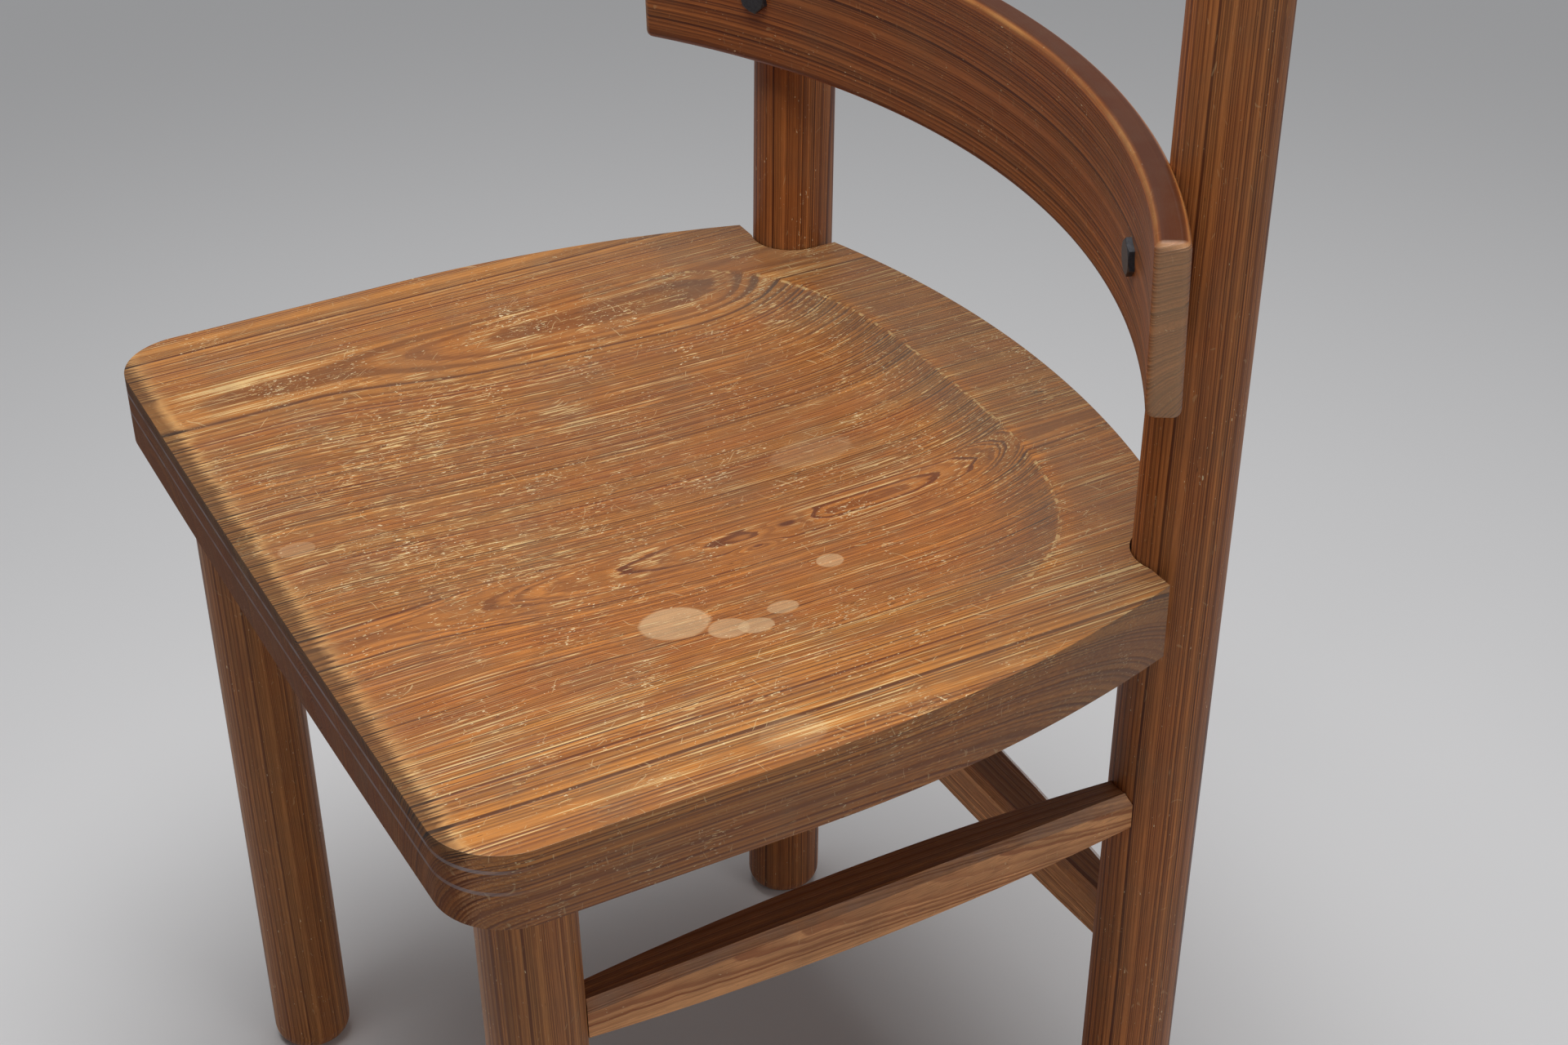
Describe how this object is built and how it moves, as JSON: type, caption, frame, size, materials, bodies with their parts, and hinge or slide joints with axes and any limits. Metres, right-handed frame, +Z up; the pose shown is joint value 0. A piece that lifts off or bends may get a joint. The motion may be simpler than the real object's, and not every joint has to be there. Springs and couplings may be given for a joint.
{
  "type": "wooden side chair",
  "caption": "Worn clear-lacquered pine side chair with a scooped board seat, round legs and posts, swelling stretchers and a curved bolted back rail",
  "frame": {"origin": "on the floor, at the middle of the chair's width and depth", "axes": "+Z up; the chair faces -Y; +X is the sitter's left"},
  "size_m": [0.4894, 0.4144, 0.8],
  "materials": {
    "seat_pine": "worn clear lacquer, scratched and dirty, satin",
    "frame_pine": "darkened clear lacquer, worn, satin",
    "black_steel": "black oxide, semi-gloss",
    "dowel_wood": "bare"
  },
  "bodies": {
    "root": {"seat_board_right": "seat_pine", "seat_board_middle": "seat_pine", "seat_board_left_inner": "seat_pine", "seat_board_left": "seat_pine", "front_leg_left": "frame_pine", "front_leg_right": "frame_pine", "back_post_left": "frame_pine", "back_post_right": "frame_pine", "side_stretcher_left": "frame_pine", "side_stretcher_right": "frame_pine", "back_stretcher": "frame_pine", "back_rail": "frame_pine", "rail_bolt_left": "black_steel", "rail_bolt_right": "black_steel", "seat_dowel_left": "dowel_wood", "seat_dowel_right": "dowel_wood"}
  },
  "joints": []
}
